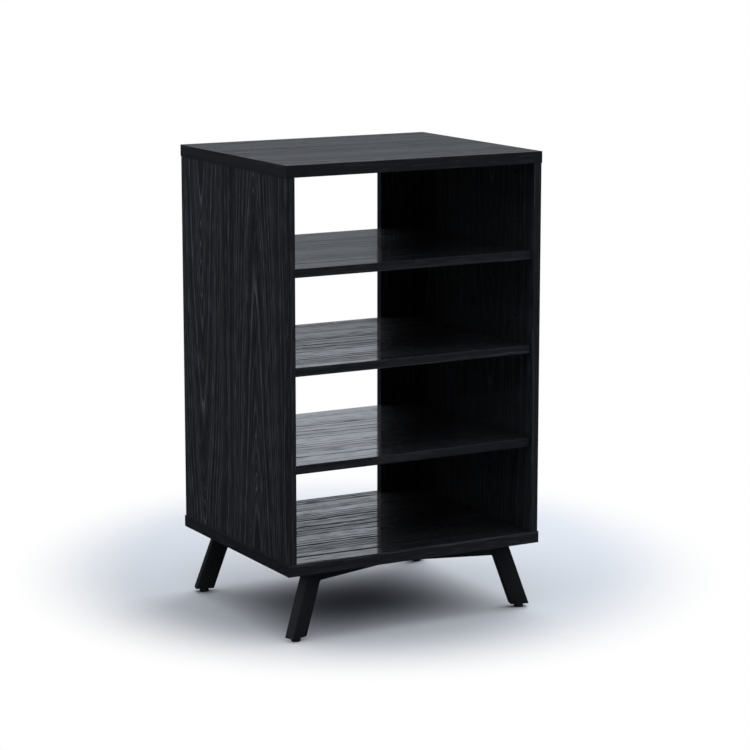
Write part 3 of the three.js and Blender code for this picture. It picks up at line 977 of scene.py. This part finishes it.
def shelf_pin(node):
    """A pin that points inwards from the blind end of its hole."""
    low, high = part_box(node)
    side = 1 if low.x > 0 else -1
    bm = turned(PIN_PROFILE)
    bmesh.ops.rotate(bm, verts=bm.verts, matrix=Matrix.Rotation(math.radians(-90 * side), 3, "Y"))
    start = high.x if side > 0 else low.x
    bmesh.ops.translate(bm, verts=bm.verts, vec=(start, (low.y + high.y) / 2, (low.z + high.z) / 2))
    finish_piece(bm, f"{node}_turned", node, "carcass", [zinc_plate], smooth=True)


for shelf in SHELVES:
    for end in ("front", "rear"):
        for side in ("left", "right"):
            shelf_pin(f"{shelf}_pin_{end}_{side}")
print("Shelf pins:", 4 * len(SHELVES))

# %% [markdown]
# Cams and plugs
#
# A cam is a cast drum in the side of the rack. Half a turn with a screwdriver pulls the top panel's bolt
# down into it. A plug closes the end of a leg and holds the thread of its glide. Both could be turned like
# the screws, but their slots and flats are in the CAD solids already, so only their sharp rims are eased.

# %% Cams and plugs
CAM_RIM_RADIUS = 0.35 * MM
CAM_RIM_SHARE = 0.97
PLUG_RIM_RADIUS = 0.4 * MM
LEAST_PLUG_EDGE = 10 * MM


def sharp_edges(bm, least_length=0.0):
    """The convex edges of a solid that turn by more than half a right angle."""
    edges = [edge for edge in bm.edges if edge.is_manifold and edge.calc_length() > least_length]
    return [edge for edge in edges if edge.calc_face_angle_signed() > SHARP_ANGLE]


def cam_rim(bm, node):
    """The edges round a cam's two end faces, without those of its slots."""
    low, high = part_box(node)
    middle = (low + high) / 2
    radius = (high.z - low.z) / 2
    rim = []
    for edge in sharp_edges(bm):
        distances = [math.hypot(vert.co.y - middle.y, vert.co.z - middle.z) for vert in edge.verts]
        level = abs(edge.verts[0].co.x - edge.verts[1].co.x) < SAME_PLACE
        if level and min(distances) > CAM_RIM_SHARE * radius:
            rim.append(edge)
    return rim


for corner in CORNERS:
    cam = f"{corner}_cam"
    bm = merged_copy(cam)
    round_edges(bm, cam_rim(bm, cam), CAM_RIM_RADIUS, segments=2)
    # The cam's near-black finish is painted shade for its recess.
    finish_piece(bm, f"{cam}_casting", cam, "carcass", [black_zinc], smooth=True)
    plug = f"{corner}_leg_plug"
    bm = merged_copy(plug)
    round_edges(bm, sharp_edges(bm, LEAST_PLUG_EDGE), PLUG_RIM_RADIUS, segments=2)
    finish_piece(bm, f"{plug}_moulding", plug, "carcass", [moulded_plastic], smooth=True)
print("Cams and plugs:", 2 * len(CORNERS))

# %% [markdown]
# Sky
#
# Black furniture is lit by what it mirrors. The world is white for the camera and for mirror rays, as a
# studio's white room is. For light that spreads it is a soft sky: dark and bluish low down, because the
# upright boards should stay dark, and bright overhead, where the level boards look.

# %% World
WHITE = (1, 1, 1, 1)
# How steeply a direction rises, from 0 at the horizon to 1 straight up, and the sky's brightness there.
SKY_STEPS = ((-0.02, 0.05), (0.30, 0.07), (0.46, 0.28), (0.62, 1.40), (1.0, 1.40))
SKY_TINT_STEP = (0.30, 0.62)
SKY_LOW_TINT = (0.78, 0.87, 1.08, 1.0)
SKY_HIGH_TINT = (0.95, 0.97, 1.0, 1.0)
SKY_LEAN = (0.20, 0.20, 0.0)


def looked_at(tree, path):
    """1 for rays from the camera, a mirror or glass, and 0 for light that spreads."""
    seen = math_node(tree, "MAXIMUM", path.outputs["Is Camera Ray"], path.outputs["Is Glossy Ray"])
    return math_node(tree, "MAXIMUM", seen, path.outputs["Is Transmission Ray"])


def make_world():
    """A white room to look at, and a soft sky for the rest, a little brighter at the back on the right."""
    world = bpy.data.worlds.new("studio")
    world.use_nodes = True
    tree = world.node_tree
    tree.nodes.clear()
    towards = tree.nodes.new("ShaderNodeTexCoord").outputs["Generated"]
    height = add_node(tree, "ShaderNodeSeparateXYZ", Vector=towards).outputs[2]
    level = SKY_STEPS[0][1]
    for (low, dark), (high, light) in zip(SKY_STEPS, SKY_STEPS[1:]):
        level = math_node(tree, "ADD", remap(tree, height, low, high, 0.0, light - dark), level)
    leaning = add_node(tree, "ShaderNodeVectorMath", {"operation": "DOT_PRODUCT"}, i0=towards, i1=SKY_LEAN)
    strength = math_node(tree, "MULTIPLY", level, math_node(tree, "ADD", leaning.outputs["Value"], 1.0))
    tint = mix_colours(tree, remap(tree, height, *SKY_TINT_STEP, 0.0, 1.0), SKY_LOW_TINT, SKY_HIGH_TINT)
    sky = add_node(tree, "ShaderNodeBackground", Color=tint, Strength=strength)
    room = add_node(tree, "ShaderNodeBackground", Color=WHITE, Strength=1.0)
    seen = looked_at(tree, tree.nodes.new("ShaderNodeLightPath"))
    surface = mix_shaders(tree, seen, sky.outputs[0], room.outputs[0])
    add_node(tree, "ShaderNodeOutputWorld", Surface=surface)
    scene.world = world


make_world()
print("The sky is", round(SKY_STEPS[-1][1] / SKY_STEPS[0][1]), "times as bright overhead as at the horizon")

# %% [markdown]
# Floor
#
# The rack stands on a floor that keeps a soft shadow and then fades into the white background. So the floor
# shows its own shade inside an oval pool round the rack, and white outside it. It also throws back only part
# of its light, so that the insides of the bays and the undersides of the boards stay dark.

# %% Floor
FLOOR_REACH = 60.0
FLOOR_COLOUR = (0.615, 0.64, 0.68, 1.0)
FLOOR_ROUGHNESS = 0.9
FLOOR_SPECULAR = 0.1
# The middle of the pool, its turn and its half axes, in metres.
POOL = {"Location": (0.165, 0.265, 0.0), "Rotation": (0, 0, CAMERA_YAW), "Scale": (0.84, 0.95, 1.0)}
POOL_EDGE = (0.60, 0.99)
BOUNCE_LOSS = 0.35


def pool_edge(tree):
    """0 inside the pool, 1 outside it, and a smooth step between."""
    where = tree.nodes.new("ShaderNodeTexCoord").outputs["Object"]
    pool = add_node(tree, "ShaderNodeMapping", {"vector_type": "TEXTURE"}, Vector=where, **POOL)
    distance = add_node(tree, "ShaderNodeVectorMath", {"operation": "LENGTH"}, i0=pool.outputs[0])
    return remap(tree, distance.outputs["Value"], *POOL_EDGE, 0.0, 1.0, "SMOOTHSTEP")


def floor_paint():
    """A pale matt paint that keeps the shadow near the rack."""
    material, tree, shader = new_material("floor_paint")
    shader.inputs["Base Color"].default_value = FLOOR_COLOUR
    shader.inputs["Roughness"].default_value = FLOOR_ROUGHNESS
    shader.inputs["Specular IOR Level"].default_value = FLOOR_SPECULAR
    path = tree.nodes.new("ShaderNodeLightPath")
    outside = math_node(tree, "MULTIPLY", looked_at(tree, path), pool_edge(tree))
    white = add_node(tree, "ShaderNodeEmission", Color=WHITE, Strength=1.0)
    black = add_node(tree, "ShaderNodeEmission", Color=(0, 0, 0, 1), Strength=0.0)
    lost = math_node(tree, "MULTIPLY", path.outputs["Is Diffuse Ray"], BOUNCE_LOSS)
    painted = mix_shaders(tree, outside, shader.outputs[0], white.outputs[0])
    dimmed = mix_shaders(tree, lost, painted, black.outputs[0])
    tree.links.new(dimmed, tree.nodes["Material Output"].inputs["Surface"])
    return material


bm = bmesh.new()
bmesh.ops.create_grid(bm, x_segments=1, y_segments=1, size=FLOOR_REACH)
floor = new_object(bm, "floor", [floor_paint()])
print("The floor reaches", FLOOR_REACH, "m to each side")

# %% [markdown]
# Mirror card
#
# The level boards mirror what stands behind the rack, low over the floor. In a studio that is a card, pale
# where the boards should be light and dark where they should be dark. Here it is a drape on the floor and
# all round, which only mirror rays see. Its glow changes with the height. It ends at 40 degrees above the
# floor, and a mirror ray that rises more steeply sees the white room.

# %% Mirror card
CARD_RADIUS = 40.0
CARD_LIFT = 0.0005
CARD_SIDES = 48
RIM_SLOPE = math.tan(math.radians(40.0))
# The elevation of a mirror ray in degrees, and the glow that it meets.
CARD_STEPS = (
    (4.5, 0.07), (5.6, 0.10), (7.8, 0.14), (9.9, 0.26), (11.2, 0.70), (12.0, 1.15), (13.2, 1.10),
    (14.2, 0.90), (16.0, 0.80), (18.0, 0.40), (35.0, 0.40),
)
CARD_TINT = (0.93, 0.99, 1.09)
CARD_FOOT = (0.02, 0.022, 0.026, 1)


def card_glow():
    """The card's own light, set by the elevation at which the rack's middle sees each height of it."""
    material, tree, shader = new_material("dark_card")
    tree.nodes.remove(shader)
    where = tree.nodes.new("ShaderNodeTexCoord").outputs["Object"]
    height = add_node(tree, "ShaderNodeSeparateXYZ", Vector=where).outputs["Z"]
    ramp = tree.nodes.new("ShaderNodeValToRGB")
    ramp.color_ramp.elements[1].color = WHITE
    ramp.color_ramp.elements[0].color = CARD_FOOT
    for elevation, glow in CARD_STEPS:
        stop = ramp.color_ramp.elements.new(math.tan(math.radians(elevation)) / RIM_SLOPE)
        stop.color = (*(glow * part for part in CARD_TINT), 1)
    tree.links.new(remap(tree, height, 0.0, CARD_RADIUS * RIM_SLOPE, 0.0, 1.0), ramp.inputs[0])
    glow = add_node(tree, "ShaderNodeEmission", Color=ramp.outputs[0], Strength=1.0)
    tree.links.new(glow.outputs[0], tree.nodes["Material Output"].inputs["Surface"])
    return material


def make_card():
    """A drape that lies on the floor, turns up far from the rack and ends in a level rim."""
    bm = bmesh.new()
    profile = [
        bm.verts.new((0.0, 0.0, CARD_LIFT)), bm.verts.new((CARD_RADIUS, 0.0, CARD_LIFT)),
        bm.verts.new((CARD_RADIUS, 0.0, CARD_RADIUS * RIM_SLOPE)),
    ]
    edges = [bm.edges.new(pair) for pair in zip(profile, profile[1:])]
    bmesh.ops.spin(bm, geom=profile + edges, steps=CARD_SIDES, **WHOLE_TURN)
    card = new_object(bm, "dark_card", [card_glow()])
    card.visible_camera = False
    card.visible_diffuse = False
    card.visible_shadow = False
    card.visible_transmission = False
    card.visible_volume_scatter = False


make_card()
print("The card is", round(CARD_RADIUS * RIM_SLOPE, 1), "m high, and only mirrors see it")

# %% [markdown]
# Lamps
#
# Three soft boxes, which nothing mirrors. One stands behind on the right and lights only the floor, so it
# throws the shadow to the front left. One grazes the left side, and one lights the fronts from the right.
# Light linking gives each lamp its own list of pieces.

# %% Lamps
COOL = (0.96, 0.98, 1.0)
RIGHT_SIDE = bpy.data.objects["right_side_panel_board"]


def lit_pieces(name, pieces, link_state):
    """A collection that a lamp lights, or leaves out."""
    chosen = bpy.data.collections.new(name)
    for piece in pieces:
        chosen.objects.link(piece)
    for member in chosen.collection_objects:
        member.light_linking.link_state = link_state
    return chosen


def area_lamp(name, place, target, size, power, color, pieces):
    """A soft box that looks at a point and isn't mirrored."""
    data = bpy.data.lights.new(name, "AREA")
    data.shape = "RECTANGLE"
    data.size, data.size_y = size
    data.energy = power
    data.color = color
    lamp = bpy.data.objects.new(name, data)
    lamp.location = place
    lamp.rotation_euler = (Vector(target) - Vector(place)).to_track_quat("-Z", "Y").to_euler()
    lamp.visible_camera = False
    lamp.visible_glossy = False
    scene.collection.objects.link(lamp)
    lamp.light_linking.receiver_collection = pieces


area_lamp(
    "over lamp", place=(2.1, 0.55, 2.8), target=(0.2, 0.2, 0.0), size=(3.6, 3.6), power=58.0,
    color=(0.97, 0.985, 1.0), pieces=lit_pieces("over lamp lights", [floor], "INCLUDE"),
)
area_lamp(
    "left lamp", place=(-1.36, 0.63, 0.75), target=(-0.3, 0.0, 0.6), size=(0.5, 1.4), power=4.6,
    color=COOL, pieces=lit_pieces("left lamp leaves out", [floor, RIGHT_SIDE], "EXCLUDE"),
)
area_lamp(
    "right lamp", place=(2.8, -1.1, 1.3), target=(0.0, 0.0, 0.5), size=(1.2, 1.2), power=37.0,
    color=COOL, pieces=lit_pieces("right lamp leaves out", [floor], "EXCLUDE"),
)
print("Lamps:", len(bpy.data.lights))
